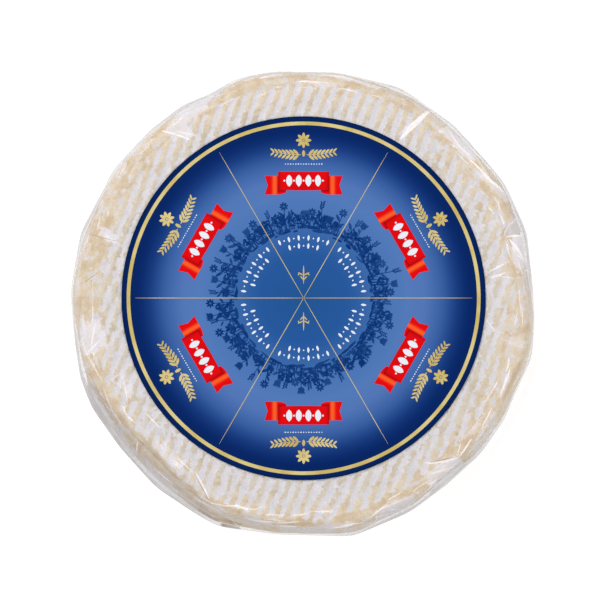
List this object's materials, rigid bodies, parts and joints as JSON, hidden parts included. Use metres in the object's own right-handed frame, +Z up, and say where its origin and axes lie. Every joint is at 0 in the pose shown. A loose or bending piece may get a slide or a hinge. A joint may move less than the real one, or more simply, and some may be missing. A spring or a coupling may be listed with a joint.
{
  "type": "brie wheel",
  "caption": "Whole wheel of soft cheese with a white, mat-grooved rind, drawn tightly into clear film, with a round dark-blue paper label flat on top.",
  "frame": {"origin": "under the middle of the wheel's box, on the surface that it rests on", "axes": "+Z up through the thickness, +Y towards the top of the label, +X to the right of the label seen from above"},
  "size_m": [0.3586, 0.3598, 0.0334],
  "materials": {
    "rind": "white bloomy mould with tan crests, seen through clear film",
    "film": "thin clear glossy wrapping film with creases",
    "label": "coated paper printed from mid blue to navy, satin",
    "gold_print": "pale gold printed line, satin",
    "red_print": "red printed ribbon, satin",
    "white_print": "white printed spots, satin",
    "navy_print": "deep blue printed meadow, satin"
  },
  "bodies": {
    "root": {"wheel": "rind", "label": "label"}
  },
  "joints": []
}
